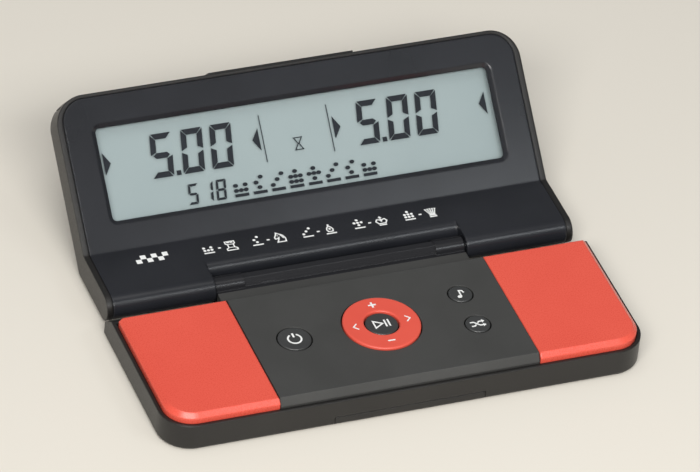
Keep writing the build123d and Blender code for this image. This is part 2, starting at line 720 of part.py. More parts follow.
with BuildPart() as lid_front_bezel:
    with BuildSketch(side_plane):
        with BuildLine():
            Polyline(*lid_layer_points(0), close=True)
        make_face()
    extrude(amount=bezel_half, both=True)
    fillet(screen_corners(lid_front_bezel), radius=bezel_corner)
    with BuildSketch(side_plane):
        with Locations((hinge_y, hinge_height)):
            Circle(barrel_radius)
        with Locations(((hinge_y + barrel_back) / 2, hinge_height)):
            Rectangle(barrel_back - hinge_y, 2 * barrel_radius)
    extrude(amount=bezel_half, both=True)
    with BuildSketch(side_plane):
        with Locations(((hinge_y + nose_back) / 2, hinge_height)):
            Rectangle(nose_back - hinge_y, 2 * barrel_radius)
    extrude(amount=notch_half_span + 1.2, both=True)
    # the notch with its rounded back edge
    with BuildSketch(side_plane):
        with Locations(((hinge_y - 8 + nose_y) / 2, hinge_height)):
            Rectangle(nose_y - hinge_y + 8, 4 * barrel_radius)
        with Locations((nose_y, nose_z)):
            Circle(nose_radius, mode=Mode.SUBTRACT)
        with Locations((nose_y - nose_radius / 2, (nose_z + lid_bottom) / 2)):
            Rectangle(nose_radius, nose_z - lid_bottom, mode=Mode.SUBTRACT)
    extrude(amount=notch_half_span, both=True, mode=Mode.SUBTRACT)
    # the window, chamfered in front and stepped behind for the clear pane
    with BuildSketch(screen_plane):
        with Locations((0, (window_bottom + window_top) / 2)):
            RectangleRounded(2 * window_half_width, window_top - window_bottom, 1.2)
    extrude(amount=-layer_thickness, mode=Mode.SUBTRACT)
    with BuildSketch(screen_plane.offset(-window_lip)):
        with Locations((0, (window_bottom + window_top) / 2)):
            Rectangle(2 * (window_half_width + window_margin), window_top - window_bottom + 2 * window_margin)
    extrude(amount=-layer_thickness, mode=Mode.SUBTRACT)
    for reach, depth in ((window_chamfer, 0.01), (0, -0.9)):
        with BuildSketch(screen_plane.offset(depth)):
            with Locations((0, (window_bottom + window_top) / 2)):
                RectangleRounded(2 * (window_half_width + reach), window_top - window_bottom + 2 * reach,
                                 1.2 + reach)
    loft(mode=Mode.SUBTRACT)
    # bores for the hinge pins; the left one goes on for the wires
    with BuildSketch(Plane.YZ.offset(-pin_outer)):
        with Locations((hinge_y, hinge_height)):
            Circle(pin_radius)
    extrude(amount=2 * pin_outer, mode=Mode.SUBTRACT)
    with BuildSketch(Plane.YZ.offset(-52.0)):
        with Locations((hinge_y, hinge_height)):
            Circle(wire_bore_radius + 0.2)
    extrude(amount=20.0, mode=Mode.SUBTRACT)
    add(wire_channel.part, mode=Mode.SUBTRACT)
    # bosses for the screws that come through the rear shell
    with BuildSketch(screen_plane.offset(-layer_thickness)):
        with Locations(*lid_screw_places):
            Circle(lid_boss_radius)
            Circle(lid_screw_radius, mode=Mode.SUBTRACT)
    extrude(amount=-(rear_inner - layer_thickness - snug_gap))
lid_front_bezel.part.label = "lid_front_bezel"
export_step(lid_front_bezel.part, "parts/lid_front_bezel.step")

# ======== lid: rear shell with the grip lip ========
pocket_half = bezel_half + seam_gap
cavity_half = lid_half - 2.2
bottom_turn = (panel_height - lid_thickness * out_z - lid_bottom) / up_z
inner_floor = lid_bottom + rear_wall
inner_turn = (panel_height - rear_inner * out_z - inner_floor) / up_z
# the bezel's place: its layer, its barrels and the block behind the notch
with BuildPart() as bezel_place:
    with BuildSketch(side_plane):
        with BuildLine():
            Polyline(*lid_layer_points(seam_gap), close=True)
        make_face()
    extrude(amount=pocket_half, both=True)
    fillet(screen_corners(bezel_place), radius=bezel_corner + seam_gap)
    with BuildSketch(side_plane):
        with Locations(((hinge_y - 8 + barrel_back + seam_gap) / 2, hinge_height)):
            Rectangle(barrel_back + seam_gap - hinge_y + 8, 2 * barrel_radius + 2)
    extrude(amount=pocket_half, both=True)
    with BuildSketch(side_plane):
        with Locations(((hinge_y - 8 + nose_back + seam_gap) / 2, hinge_height)):
            Rectangle(nose_back + seam_gap - hinge_y + 8, 2 * barrel_radius + 2)
    extrude(amount=notch_half_span + 1.2 + seam_gap, both=True)

with BuildPart() as lid_rear_shell:
    with BuildSketch(side_plane):
        with BuildLine():
            Polyline((hinge_y, panel_height),
                     (crease_y, panel_height),
                     on_lid(screen_length, 0),
                     on_lid(screen_length, lid_thickness),
                     on_lid(-bottom_turn, lid_thickness),
                     (hinge_y, lid_bottom))
            ThreePointArc((hinge_y, lid_bottom), (hinge_y - barrel_radius, hinge_height), (hinge_y, panel_height))
        make_face()
    extrude(amount=lid_half, both=True)
    fillet(screen_corners(lid_rear_shell), radius=lid_corner_radius)
    rear_face = lid_rear_shell.faces().sort_by_distance(
        screen_plane.from_local_coords((0, screen_length / 2, -lid_thickness)))[0]
    fillet(rear_face.edges(), radius=rear_edge_radius)
    add(bezel_place.part, mode=Mode.SUBTRACT)
    # the inside
    with BuildSketch(side_plane):
        with BuildLine():
            Polyline((nose_back + 1.6, inner_floor),
                     on_lid(-inner_turn, rear_inner),
                     on_lid(screen_length - rear_wall - 0.6, rear_inner),
                     on_lid(screen_length - rear_wall - 0.6, layer_thickness - 0.5),
                     on_lid(inner_crease * 0.7, layer_thickness - 0.5),
                     (nose_back + 1.6, panel_height - layer_thickness + 0.5), close=True)
        make_face()
    extrude(amount=cavity_half, both=True, mode=Mode.SUBTRACT)
    # the grip lip at the back of the top edge
    with BuildSketch(screen_plane.offset(-lid_thickness + 2.0)):
        with Locations((0, screen_length - 0.5 + (grip_height + 0.5) / 2)):
            Rectangle(grip_width, grip_height + 0.5)
    extrude(amount=3.2)
    add(wire_channel.part, mode=Mode.SUBTRACT)
    # screw holes with a recess for the heads, and pockets for the rubber feet
    with BuildSketch(screen_plane.offset(-rear_inner + 0.5)):
        with Locations(*lid_screw_places):
            Circle(lid_screw_radius + snug_gap)
    extrude(amount=-rear_wall - 1, mode=Mode.SUBTRACT)
    with BuildSketch(screen_plane.offset(-lid_thickness - 0.01)):
        with Locations(*lid_screw_places):
            Circle(lid_screw_head + snug_gap)
    extrude(amount=recess_depth, mode=Mode.SUBTRACT)
    with BuildSketch(Plane.XY.offset(lid_bottom - 0.01)):
        with Locations(*lid_foot_places):
            Circle(lid_foot_radius + snug_gap)
    extrude(amount=foot_recess, mode=Mode.SUBTRACT)
lid_rear_shell.part.label = "lid_rear_shell"
export_step(lid_rear_shell.part, "parts/lid_rear_shell.step")

for place, label in zip(lid_foot_places, ["left_lid_foot", "right_lid_foot"]):
    with BuildPart() as lid_foot:
        with BuildSketch():
            with Locations(place):
                Circle(lid_foot_radius)
        extrude(amount=lid_bottom + foot_recess - snug_gap)
        fillet(lid_foot.faces().sort_by(Axis.Z)[0].edges(), radius=0.3)
    lid_foot.part.label = label
    export_step(lid_foot.part, "parts/" + label + ".step")

# ======== lid: display window and the display behind it ========
window_mid = (window_bottom + window_top) / 2
window_height = window_top - window_bottom
pane_thickness = layer_thickness - window_lip - 2 * snug_gap
glass_front = layer_thickness + 0.1
glass_thickness = 1.4
reflector_thickness = 0.25
frame_depth = 3.2
board_front_depth = glass_front + frame_depth + snug_gap
lid_board_thickness = 1.0
glass_half = window_half_width + 2.4
glass_low = window_bottom - 3.0
glass_high = window_top + 1.6
reflector_low = glass_low + 2.6
strip_low = glass_low + 0.4
strip_width = 1.8
strip_half = glass_half - 6.0
frame_wall = 1.5
chip_half = 4.0
chip_depth = board_front_depth + lid_board_thickness + snug_gap
# each flat layer: its front's depth behind the bezel's face, half width, low and high edges, thickness
display_layers = [
    ("display_window", window_lip + snug_gap, window_half_width + window_margin - snug_gap,
     window_bottom - window_margin + snug_gap, window_top + window_margin - snug_gap, pane_thickness),
    ("lcd_glass", glass_front, glass_half, glass_low, glass_high, glass_thickness),
    ("lcd_reflector", glass_front + glass_thickness + snug_gap, glass_half,
     reflector_low, glass_high, reflector_thickness),
    ("display_contact_strip", glass_front + glass_thickness, strip_half,
     strip_low, strip_low + strip_width, frame_depth - glass_thickness),
    ("display_board", board_front_depth, glass_half + frame_wall,
     glass_low - 0.9, glass_high + 0.9, lid_board_thickness),
    ("display_driver", chip_depth, chip_half,
     window_mid - chip_half, window_mid + chip_half, rear_inner - chip_depth - 0.15),
]
for label, depth, half_x, low, high, thickness in display_layers:
    with BuildPart() as display_layer:
        with BuildSketch(screen_plane.offset(-depth)):
            with Locations((0, (low + high) / 2)):
                Rectangle(2 * half_x, high - low)
        extrude(amount=-thickness)
    display_layer.part.label = label
    export_step(display_layer.part, "parts/" + label + ".step")

with BuildPart() as display_frame:
    with BuildSketch(screen_plane.offset(-glass_front)):
        with Locations((0, (glass_low + glass_high) / 2)):
            Rectangle(2 * (glass_half + frame_wall), glass_high - glass_low + 2 * frame_wall)
    extrude(amount=-frame_depth)
    with BuildSketch(screen_plane.offset(-glass_front)):
        with Locations((0, (glass_low + glass_high) / 2)):
            Rectangle(2 * (glass_half + snug_gap), glass_high - glass_low + 2 * snug_gap)
    extrude(amount=-(glass_thickness + reflector_thickness + 2 * snug_gap), mode=Mode.SUBTRACT)
    with BuildSketch(screen_plane.offset(-glass_front)):
        with Locations((0, (reflector_low + glass_high) / 2 + 1.5)):
            Rectangle(2 * glass_half - 8.0, glass_high - reflector_low - 9.0)
        with Locations((0, strip_low + strip_width / 2)):
            Rectangle(2 * (strip_half + snug_gap), strip_width + 2 * snug_gap)
    extrude(amount=-frame_depth, mode=Mode.SUBTRACT)
display_frame.part.label = "display_frame"
export_step(display_frame.part, "parts/display_frame.step")

# ======== lid: the wires from the barrel to the display board ========
lid_wire_depth = board_front_depth + lid_board_thickness + lid_wire_radius + 0.02
wire_turn = (lid_wire_depth * out_z - panel_height + hinge_height) / up_z
with BuildPart() as display_wires:
    with BuildLine() as lid_wire_path:
        FilletPolyline((-pin_outer - 1.2, hinge_y, hinge_height),
                       (lid_wire_x, hinge_y, hinge_height),
                       (lid_wire_x, *on_lid(wire_turn, lid_wire_depth)),
                       (lid_wire_x, *on_lid(glass_low + 4.0, lid_wire_depth)), radius=0.8)
    with BuildSketch(Plane(origin=(-pin_outer - 1.2, hinge_y, hinge_height), z_dir=(-1, 0, 0))):
        Circle(lid_wire_radius)
    sweep()
display_wires.part.label = "display_wires"
export_step(display_wires.part, "parts/display_wires.step")

# ======== lid: screws from the back into the bezel's bosses ========
lid_screw_names = ["lid_lower_left_screw", "lid_upper_left_screw", "lid_lower_right_screw", "lid_upper_right_screw"]
for place, label in zip(lid_screw_places, lid_screw_names):
    with BuildPart() as lid_screw:
        with BuildSketch(screen_plane.offset(-lid_thickness + 0.15)):
            with Locations(place):
                Circle(lid_screw_head)
        extrude(amount=recess_depth - 0.15 - snug_gap)
        with BuildSketch(screen_plane.offset(-lid_thickness + 0.4)):
            with Locations(place):
                Circle(lid_screw_radius)
        extrude(amount=lid_thickness - layer_thickness - 1.2)
        with BuildSketch(screen_plane.offset(-lid_thickness + 0.15)):
            with Locations(place):
                Rectangle(2.0, 0.35)
                Rectangle(0.35, 2.0)
        extrude(amount=0.3, mode=Mode.SUBTRACT)
    lid_screw.part.label = label
    export_step(lid_screw.part, "parts/" + label + ".step")
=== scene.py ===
import bpy
import bmesh
import json
import numpy as np
from math import radians, sin, cos, pi
from mathutils import Matrix, Vector


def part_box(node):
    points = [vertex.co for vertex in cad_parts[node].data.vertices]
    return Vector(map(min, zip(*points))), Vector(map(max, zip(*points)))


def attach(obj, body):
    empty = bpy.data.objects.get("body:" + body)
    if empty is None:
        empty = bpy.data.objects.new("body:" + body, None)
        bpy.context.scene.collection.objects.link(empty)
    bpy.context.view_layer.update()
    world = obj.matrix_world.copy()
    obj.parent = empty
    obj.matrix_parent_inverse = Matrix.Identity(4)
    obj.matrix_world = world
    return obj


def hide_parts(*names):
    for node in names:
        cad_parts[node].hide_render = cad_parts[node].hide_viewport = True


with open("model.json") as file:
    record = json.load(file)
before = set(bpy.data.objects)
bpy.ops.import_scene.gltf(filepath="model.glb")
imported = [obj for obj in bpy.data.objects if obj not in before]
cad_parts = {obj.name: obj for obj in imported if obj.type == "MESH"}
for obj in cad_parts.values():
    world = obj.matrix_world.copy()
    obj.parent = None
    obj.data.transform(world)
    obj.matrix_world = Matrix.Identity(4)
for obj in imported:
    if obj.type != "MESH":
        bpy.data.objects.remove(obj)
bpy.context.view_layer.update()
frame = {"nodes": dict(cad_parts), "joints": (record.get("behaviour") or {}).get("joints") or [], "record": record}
nodes = frame["nodes"]
record = frame["record"]
hinge = next(j for j in frame["joints"] if j["name"] == "lid_hinge")
hingeY, hingeZ = hinge["pos_m"][1], hinge["pos_m"][2]
mm = 0.001
print("stage 1: packed clock loaded,", len(nodes), "nodes")


# materials
def newMaterial(name):
    material = bpy.data.materials.new(name)
    material.use_nodes = True
    material.node_tree.nodes.clear()
    return material, material.node_tree.nodes, material.node_tree.links


moulding = dict(cloudDetail=3, cloudLow=0.35, cloudHigh=0.65, grainDetail=4, grainLow=0.3, grainHigh=0.7,
                bevelSamples=4, bumpStrength=0.6, ior=1.5, coatRough=0.1)


def mouldedPlastic(name, look):
    # colour: two tones mixed by slow cloudy noise
    # finish: fine grain drives the roughness and a shallow bump on rounded edges
    material, node, link = newMaterial(name)
    out = node.new("ShaderNodeOutputMaterial")
    bsdf = node.new("ShaderNodeBsdfPrincipled")
    link.new(bsdf.outputs["BSDF"], out.inputs["Surface"])
    coord = node.new("ShaderNodeTexCoord")
    cloud = node.new("ShaderNodeTexNoise")
    cloud.inputs["Scale"].default_value = look["cloudScale"]
    cloud.inputs["Detail"].default_value = moulding["cloudDetail"]
    link.new(coord.outputs["Object"], cloud.inputs["Vector"])
    tones = node.new("ShaderNodeValToRGB")
    tones.color_ramp.elements[0].position = moulding["cloudLow"]
    tones.color_ramp.elements[1].position = moulding["cloudHigh"]
    tones.color_ramp.elements[0].color = (*look["dark"], 1)
    tones.color_ramp.elements[1].color = (*look["light"], 1)
    link.new(cloud.outputs["Fac"], tones.inputs["Fac"])
    link.new(tones.outputs["Color"], bsdf.inputs["Base Color"])
    grain = node.new("ShaderNodeTexNoise")
    grain.inputs["Scale"].default_value = look["grainScale"]
    grain.inputs["Detail"].default_value = moulding["grainDetail"]
    link.new(coord.outputs["Object"], grain.inputs["Vector"])
    rough = node.new("ShaderNodeMapRange")
    rough.inputs["From Min"].default_value = moulding["grainLow"]
    rough.inputs["From Max"].default_value = moulding["grainHigh"]
    rough.inputs["To Min"].default_value = look["rough"][0]
    rough.inputs["To Max"].default_value = look["rough"][1]
    link.new(grain.outputs["Fac"], rough.inputs["Value"])
    link.new(rough.outputs["Result"], bsdf.inputs["Roughness"])
    edge = node.new("ShaderNodeBevel")
    edge.samples = moulding["bevelSamples"]
    edge.inputs["Radius"].default_value = look["edge"]
    bump = node.new("ShaderNodeBump")
    bump.inputs["Distance"].default_value = look["grainDepth"]
    bump.inputs["Strength"].default_value = moulding["bumpStrength"]
    link.new(grain.outputs["Fac"], bump.inputs["Height"])
    link.new(edge.outputs["Normal"], bump.inputs["Normal"])
    link.new(bump.outputs["Normal"], bsdf.inputs["Normal"])
    bsdf.inputs["Metallic"].default_value = look.get("metal", 0.0)
    bsdf.inputs["IOR"].default_value = moulding["ior"]
    bsdf.inputs["Coat Weight"].default_value = look.get("coat", 0.0)
    bsdf.inputs["Coat Roughness"].default_value = moulding["coatRough"]
    return material


def clearPane(name, look):
    # a clear sheet: light passes straight through, and the surface adds its own gloss by fresnel
    material, node, link = newMaterial(name)
    out = node.new("ShaderNodeOutputMaterial")
    mix = node.new("ShaderNodeMixShader")
    through = node.new("ShaderNodeBsdfTransparent")
    through.inputs["Color"].default_value = (*look["tint"], 1)
    gloss = node.new("ShaderNodeBsdfGlossy")
    gloss.inputs["Roughness"].default_value = look["rough"]
    fresnel = node.new("ShaderNodeFresnel")
    fresnel.inputs["IOR"].default_value = look["ior"]
    coord = node.new("ShaderNodeTexCoord")
    smear = node.new("ShaderNodeTexNoise")
    smear.inputs["Scale"].default_value = look["smearScale"]
    bump = node.new("ShaderNodeBump")
    bump.inputs["Distance"].default_value = look["smearDepth"]
    link.new(coord.outputs["Object"], smear.inputs["Vector"])
    link.new(smear.outputs["Fac"], bump.inputs["Height"])
    link.new(bump.outputs["Normal"], gloss.inputs["Normal"])
    link.new(fresnel.outputs["Fac"], mix.inputs["Fac"])
    link.new(through.outputs["BSDF"], mix.inputs[1])
    link.new(gloss.outputs["BSDF"], mix.inputs[2])
    link.new(mix.outputs["Shader"], out.inputs["Surface"])
    return material


finishes = {
    "shell": dict(dark=(0.010, 0.009, 0.0085), light=(0.013, 0.012, 0.011), rough=(0.34, 0.46),
                  cloudScale=60, grainScale=2600, grainDepth=0.00002, edge=0.0008),
    "deck": dict(dark=(0.044, 0.044, 0.042), light=(0.050, 0.050, 0.048), rough=(0.40, 0.52),
                 cloudScale=70, grainScale=3000, grainDepth=0.00003, edge=0.00035),
    "bezel": dict(dark=(0.012, 0.013, 0.016), light=(0.016, 0.017, 0.021), rough=(0.20, 0.27),
                  cloudScale=45, grainScale=2600, grainDepth=0.000015, edge=0.0007),
    "player_keys": dict(dark=(0.72, 0.088, 0.056), light=(0.75, 0.098, 0.063), rough=(0.24, 0.32),
                        cloudScale=40, grainScale=3000, grainDepth=0.00002, edge=0.0005),
    "red_ring": dict(dark=(0.70, 0.086, 0.056), light=(0.73, 0.095, 0.062), rough=(0.30, 0.40),
                     cloudScale=70, grainScale=3000, grainDepth=0.00002, edge=0.0004),
    "round_keys": dict(dark=(0.034, 0.035, 0.035), light=(0.040, 0.041, 0.041),
                       rough=(0.30, 0.40), coat=0.3, cloudScale=120, grainScale=3500,
                       grainDepth=0.00001, edge=0.0003),
    "reflector": dict(dark=(0.325, 0.382, 0.40), light=(0.345, 0.402, 0.42), rough=(0.55, 0.65),
                      cloudScale=25, grainScale=9000, grainDepth=0.00001, edge=0.0001),
    "inner_plastic": dict(dark=(0.09, 0.09, 0.09), light=(0.12, 0.12, 0.12), rough=(0.5, 0.6),
                          cloudScale=80, grainScale=2500, grainDepth=0.00002, edge=0.0002),
    "board": dict(dark=(0.02, 0.13, 0.06), light=(0.03, 0.17, 0.08), rough=(0.35, 0.5),
                  cloudScale=300, grainScale=4000, grainDepth=0.00002, edge=0.0001),
    "chip": dict(dark=(0.015, 0.015, 0.015), light=(0.025, 0.025, 0.025), rough=(0.5, 0.65),
                 cloudScale=300, grainScale=5000, grainDepth=0.00002, edge=0.0001),
    "rubber": dict(dark=(0.025, 0.025, 0.025), light=(0.04, 0.04, 0.04), rough=(0.75, 0.9),
                   cloudScale=200, grainScale=3000, grainDepth=0.00004, edge=0.0002),
    "steel": dict(dark=(0.50, 0.50, 0.52), light=(0.62, 0.62, 0.64), rough=(0.22, 0.38), metal=1.0,
                  cloudScale=300, grainScale=4000, grainDepth=0.00001, edge=0.0001),
    "contact": dict(dark=(0.68, 0.54, 0.28), light=(0.78, 0.64, 0.36), rough=(0.25, 0.4), metal=1.0,
                    cloudScale=300, grainScale=4000, grainDepth=0.00001, edge=0.0001),
    "wire": dict(dark=(0.28, 0.03, 0.025), light=(0.35, 0.05, 0.04), rough=(0.45, 0.55),
                 cloudScale=200, grainScale=3000, grainDepth=0.00001, edge=0.0001),
    "whitePrint": dict(dark=(0.80, 0.81, 0.80), light=(0.86, 0.87, 0.86), rough=(0.45, 0.6),
                       cloudScale=400, grainScale=6000, grainDepth=0.000005, edge=0.00002),
    "lcdInk": dict(dark=(0.006, 0.008, 0.015), light=(0.008, 0.011, 0.019), rough=(0.7, 0.8),
                   cloudScale=200, grainScale=6000, grainDepth=0.000005, edge=0.00002),
}


def twoTone(material, edgeY, farTones, farRough):
    # behind the line y = edgeY the piece takes the second tone and gloss: a step of the Object coordinate's y
    node, link = material.node_tree.nodes, material.node_tree.links
    bsdf = next(n for n in node if n.type == "BSDF_PRINCIPLED")
    coord = next(n for n in node if n.type == "TEX_COORD")
    parts = node.new("ShaderNodeSeparateXYZ")
    link.new(coord.outputs["Object"], parts.inputs["Vector"])
    past = node.new("ShaderNodeMath")
    past.operation = "GREATER_THAN"
    past.inputs[1].default_value = edgeY
    link.new(parts.outputs["Y"], past.inputs[0])
    tone = node.new("ShaderNodeMix")
    tone.data_type = "RGBA"
    link.new(past.outputs["Value"], tone.inputs["Factor"])
    link.new(bsdf.inputs["Base Color"].links[0].from_socket, tone.inputs["A"])
    tone.inputs["B"].default_value = (*farTones, 1)
    gloss = node.new("ShaderNodeMix")
    link.new(past.outputs["Value"], gloss.inputs["Factor"])
    link.new(bsdf.inputs["Roughness"].links[0].from_socket, gloss.inputs["A"])
    gloss.inputs["B"].default_value = farRough
    link.new(tone.outputs["Result"], bsdf.inputs["Base Color"])
    link.new(gloss.outputs["Result"], bsdf.inputs["Roughness"])


materials = {key: mouldedPlastic(key + "Finish", look) for key, look in finishes.items()}
panes = {
    "clear_pane": dict(name="clearPaneFinish", tint=(0.985, 0.99, 0.99), rough=0.06, ior=1.10,
                       smearScale=60, smearDepth=0.000004),
    "lcd": dict(name="lcdPlateFinish", tint=(0.985, 0.99, 0.985), rough=0.12, ior=1.05,
                smearScale=90, smearDepth=0.000003),
}
for key, look in panes.items():
    materials[key] = clearPane(look["name"], look)
for part in record["subparts"]:
    shown = nodes[part["node"]]
    shown.data.materials.clear()
    shown.data.materials.append(materials[part["material_slot"]])
# the bridge's ledge ends this far before the hinge line
bridge = dict(ledge=-0.00345, tone=(0.013, 0.013, 0.015), rough=0.22)
bridgeFinish = mouldedPlastic("bridgeFinish", finishes["deck"])
twoTone(bridgeFinish, hingeY + bridge["ledge"], bridge["tone"], bridge["rough"])
nodes["hinge_bridge"].data.materials.clear()
nodes["hinge_bridge"].data.materials.append(bridgeFinish)
print("stage 2: finishes on every node")


# flat prints as strips between two edges
printing = dict(mitreLimit=0.5, levelStep=0.0012, levelWrap=0.02, mergeWithin=2e-6)


def stroke(points, half, closed=False):
    # a line of even width: each point moves left and right along the mitre of its two neighbouring runs
    p = np.array(points, float)
    run = (np.roll(p, -1, 0) - p) if closed else np.vstack([np.diff(p, axis=0), p[-1] - p[-2]])
    run = run / np.linalg.norm(run, axis=1)[:, None]
    before = np.roll(run, 1, 0) if closed else np.vstack([run[:1], run[:-1]])
    side = np.stack([-run[:, 1], run[:, 0]], 1)
    sideBefore = np.stack([-before[:, 1], before[:, 0]], 1)
    mitre = side + sideBefore
    mitre = mitre / np.linalg.norm(mitre, axis=1)[:, None]
    reach = half / np.clip((mitre * side).sum(1), printing["mitreLimit"], 1)
    strip = np.hstack([p + mitre * reach[:, None], p - mitre * reach[:, None]])
    return np.vstack([strip, strip[:1]]) if closed else strip


def disc(x, y, radius, squash=1.0, rows=15):
    # a round spot: at height t its half width is the root of one less t squared
    t = np.sin(np.linspace(-pi / 2, pi / 2, rows))
    half = radius * np.sqrt(np.clip(1 - t * t, 0, 1))
    level = y + radius * squash * t
    return np.stack([x - half, level, x + half, level], 1)


def arc(x, y, radius, start, end, count=40):
    turn = np.radians(np.linspace(start, end, count))
    return np.stack([x + radius * np.cos(turn), y + radius * np.sin(turn)], 1)


def moved(strips, x, y, size=1.0):
    return [s * size + np.array([x, y, x, y]) for s in strips]


def printPiece(name, strips, place, body, material, thickness):
    # place carries the strips' edge points from flat millimetres onto the clock, and neighbours join in quads
    flat = np.vstack(strips).reshape(-1, 2)
    counts = np.array([len(s) for s in strips])
    starts = np.concatenate([[0], np.cumsum(counts)[:-1]]) * 2
    first = np.concatenate([start + 2 * np.arange(count - 1) for start, count in zip(starts, counts)])
    quads = np.stack([first, first + 1, first + 3, first + 2], 1)
    mesh = bpy.data.meshes.new(name)
    # each strip has its own level, because crossing strips on one level would cancel out
    levels = printing["levelStep"] * np.arange(len(strips)) % printing["levelWrap"]
    rise = np.repeat(levels, counts * 2)
    mesh.from_pydata(place(flat[:, 0], flat[:, 1], rise), [], quads.tolist())
    joined = bmesh.new()
    joined.from_mesh(mesh)
    bmesh.ops.remove_doubles(joined, verts=joined.verts, dist=printing["mergeWithin"])
    joined.to_mesh(mesh)
    joined.free()
    piece = bpy.data.objects.new(name, mesh)
    bpy.context.scene.collection.objects.link(piece)
    depth = piece.modifiers.new("depth", "SOLIDIFY")
    depth.thickness = thickness
    depth.offset = 1
    mesh.materials.append(material)
    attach(piece, body)
    return piece


lidShape = dict(slope=42.0, creaseFromHinge=16.0, panelAboveHinge=3.74)
slope = radians(lidShape["slope"])
creaseY = hingeY + lidShape["creaseFromHinge"] * mm
panelZ = hingeZ + lidShape["panelAboveHinge"] * mm


def onScreen(depth):
    # x along the hinge, y up the sloping screen, depth behind the bezel's face
    def place(x, y, rise):
        up, back = y * mm, (depth - rise) * mm
        return np.stack([x * mm, creaseY + up * cos(slope) + back * sin(slope),
                         panelZ + up * sin(slope) - back * cos(slope)], 1)
    return place


def onLevel(height, centre=(0.0, 0.0)):
    def place(x, y, rise):
        return np.stack([centre[0] + x * mm, centre[1] + y * mm, height + rise * mm], 1)
    return place


# liquid crystal display
lcd = dict(depth=3.0, thickness=0.00004, plateFront=2.32, plateThick=0.55, slant=0.115,
           bigBottom=17.25, bigHeight=11.6, bigWidth=5.9, bigStroke=1.5, bigGap=0.22,
           bigPlaces=[("5", -41.0), ("0", -32.5), ("0", -24.5)], dot=(-33.7, 17.85, 0.62), rightShift=57.4,
           smallBottom=9.0, smallHeight=5.4, smallWidth=2.7, smallStroke=0.62, smallGap=0.1,
           smallPlaces=[("5", -32.7), ("1", -28.6), ("8", -25.0)],
           rowStart=-18.0, rowPitch=5.12, rowLevels=(13.4, 12.05, 10.7), rowBar=9.4, rowStep=1.34,
           rowSpot=0.68, rowSquash=0.75, rowBarHalf=0.40, rowBarWidth=3.8,
           lineX=9.4, lineLow=16.8, lineHigh=29.4, lineHalf=0.11,
           arrowMiddle=23.1, arrowHalf=3, innerArrow=(10.35, 12.3), outerArrow=(53.3, 51.4),
           barTaper=0.3, plateLow=4.85, plateHigh=33.8, sandGlassHalf=0.13,
           sandGlass=[(-1.1, 22.0), (1.1, 22.0), (0.12, 20.4), (1.1, 18.8), (-1.1, 18.8), (-0.12, 20.4)])
segmentsOf = {"0": "abcdef", "1": "bc", "5": "afgcd", "8": "abcdefg"}


def digit(mark, x0, y0, w, h, t, gap, slant):
    # seven bars with mitred ends: each is a strip from its outer edge to its inner edge
    m = h / 2
    taper = t * lcd["barTaper"]
    bars = {
        "a": [(gap, h, t, h - t), (w - gap, h, w - t, h - t)],
        "d": [(t, t, gap, 0), (w - t, t, w - gap, 0)],
        "g": [(gap + taper, m, gap + taper, m), (t, m + t / 2, t, m - t / 2),
              (w - t, m + t / 2, w - t, m - t / 2), (w - gap - taper, m, w - gap - taper, m)],
        "f": [(0, m + gap, t, m + t / 2 + gap), (0, h - gap, t, h - t - gap)],
        "e": [(0, gap, t, t + gap), (0, m - gap, t, m - t / 2 - gap)],
        "b": [(w - t, m + t / 2 + gap, w, m + gap), (w - t, h - t - gap, w, h - gap)],
        "c": [(w - t, t + gap, w, gap), (w - t, m - t / 2 - gap, w, m - gap)],
    }
    lean = np.array([[1, 0, 0, 0], [slant, 1, 0, 0], [0, 0, 1, 0], [0, 0, slant, 1]])
    return [np.array(bars[s], float) @ lean + np.array([x0, y0, x0, y0]) for s in segmentsOf[mark]]


# spots by column -1..1 and row 0 (top) to 2; each sign stands on a bar
signSpots = {
    "rook": [(-1, 1), (1, 1), (-1, 2), (0, 2), (1, 2)],
    "knight": [(0.5, 0), (-0.55, 1), (0.05, 2)],
    "bishop": [(1, 0), (0, 1), (-1, 2)],
    "king": [(0, 0), (-1, 1), (0, 1), (1, 1), (0, 2)],
    "queen": [(0, 0), (-1, 1), (0, 1), (1, 1), (-1, 2), (0, 2), (1, 2)],
}


def spotSign(sign, x, levels, step, radius, squash, bar, barHalf, barWidth):
    spots = [disc(x + c * step, levels[r], radius, squash) for c, r in signSpots[sign]]
    return spots + [stroke([(x - barWidth / 2, bar), (x + barWidth / 2, bar)], barHalf)]


def arrowMark(base, tip):
    # a triangle as a strip that shrinks to nothing at its tip, drawn from left to right
    ends = sorted([(base, lcd["arrowHalf"]), (tip, 0)])
    middle = lcd["arrowMiddle"]
    return np.array([(x, middle + half, x, middle - half) for x, half in ends], float)


big = [b for mark, x in lcd["bigPlaces"]
       for b in digit(mark, x, lcd["bigBottom"], lcd["bigWidth"], lcd["bigHeight"], lcd["bigStroke"],
                      lcd["bigGap"], lcd["slant"])]
dotX, dotY, dotHalf = lcd["dot"]
big.append(stroke([(dotX - dotHalf, dotY), (dotX + dotHalf, dotY)], dotHalf))
marks = big + moved(big, lcd["rightShift"], 0)
marks += [b for mark, x in lcd["smallPlaces"]
          for b in digit(mark, x, lcd["smallBottom"], lcd["smallWidth"], lcd["smallHeight"],
                         lcd["smallStroke"], lcd["smallGap"], lcd["slant"])]
for i, sign in enumerate(["rook", "knight", "bishop", "queen", "king", "bishop", "knight", "rook"]):
    marks += spotSign(sign, lcd["rowStart"] + i * lcd["rowPitch"], lcd["rowLevels"], lcd["rowStep"],
                      lcd["rowSpot"], lcd["rowSquash"], lcd["rowBar"], lcd["rowBarHalf"], lcd["rowBarWidth"])
for side in (-1, 1):
    x = side * lcd["lineX"]
    marks.append(stroke([(x, lcd["lineLow"]), (x, lcd["lineHigh"])], lcd["lineHalf"]))
    for base, tip in (lcd["innerArrow"], lcd["outerArrow"]):
        marks.append(arrowMark(base * side, tip * side))
